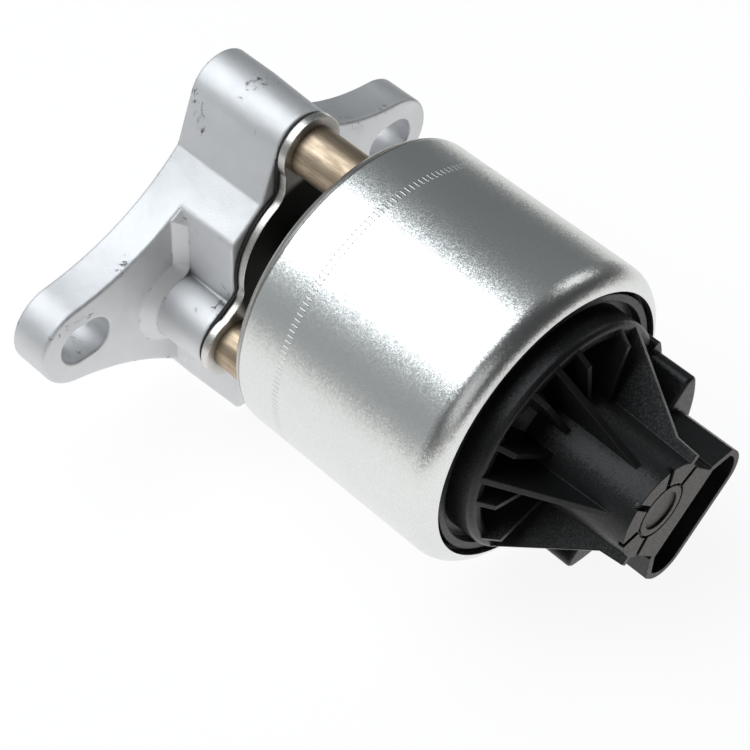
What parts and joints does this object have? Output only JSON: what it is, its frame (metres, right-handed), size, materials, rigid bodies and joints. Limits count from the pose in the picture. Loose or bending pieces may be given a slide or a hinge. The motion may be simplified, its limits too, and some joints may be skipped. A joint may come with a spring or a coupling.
{
  "type": "egr valve",
  "caption": "Electric exhaust gas recirculation valve: cast base with slotted mounting ears, standoffs, drawn solenoid can and ribbed sensor cap with a connector.",
  "frame": {"origin": "valve axis on the mounting face, at the centre of the gas inlet", "axes": "+Z along the valve axis towards the connector, +X along the line of the mounting slots, +Y away from the gas outlet"},
  "size_m": [0.096, 0.066, 0.1075],
  "materials": {
    "cast_base": "blasted casting",
    "seat_steel": "turned",
    "gasket": "matt",
    "plate_steel": "bright stamped",
    "bearing_bronze": "sintered",
    "shield_steel": "pressed",
    "standoff_metal": "dull plated",
    "screw_steel": "dark plated",
    "can_steel": "satin plated",
    "pole_steel": "turned",
    "bobbin_plastic": "moulded",
    "copper": "enamelled wire",
    "sleeve_steel": "drawn",
    "spring_steel": "tempered",
    "seal_rubber": "matt",
    "cap_plastic": "moulded satin",
    "contact_metal": "tinned",
    "board_ceramic": "printed",
    "stem_steel": "ground",
    "armature_steel": "turned",
    "plunger_plastic": "moulded"
  },
  "bodies": {
    "housing": {"base_casting": "cast_base", "valve_seat": "seat_steel", "base_gasket": "gasket", "mounting_plate": "plate_steel", "stem_bearing": "bearing_bronze", "stem_shield": "shield_steel", "standoffs": "standoff_metal", "housing_screws": "screw_steel", "solenoid_can": "can_steel", "lower_pole_piece": "pole_steel", "upper_pole_piece": "pole_steel", "coil_bobbin": "bobbin_plastic", "coil_winding": "copper", "armature_sleeve": "sleeve_steel", "spring_washer": "spring_steel", "cap_seal": "seal_rubber", "sensor_cap": "cap_plastic", "terminal_pins": "contact_metal", "resistor_board": "board_ceramic"},
    "valve": {"pintle": "stem_steel", "armature": "armature_steel", "stem_clip": "spring_steel", "return_spring": "spring_steel"},
    "sensor": {"sensor_plunger": "plunger_plastic", "wiper_contact": "contact_metal", "plunger_spring": "spring_steel"}
  },
  "joints": [
    {"name": "valve_lift", "type": "slide", "parent": "housing", "child": "valve", "axis": [0, 0, 1], "range_m": [0, 0.0045], "stiffness_N_per_m": 2000, "springref_m": -0.003, "deforming": ["return_spring"]},
    {"name": "sensor_travel", "type": "slide", "parent": "housing", "child": "sensor", "axis": [0, 0, 1], "range_m": [0, 0.0045], "stiffness_N_per_m": 200, "springref_m": -0.006, "deforming": ["plunger_spring"]}
  ],
  "couplings": [
    {"joint": "sensor_travel", "follows": "valve_lift", "ratio": 1}
  ]
}
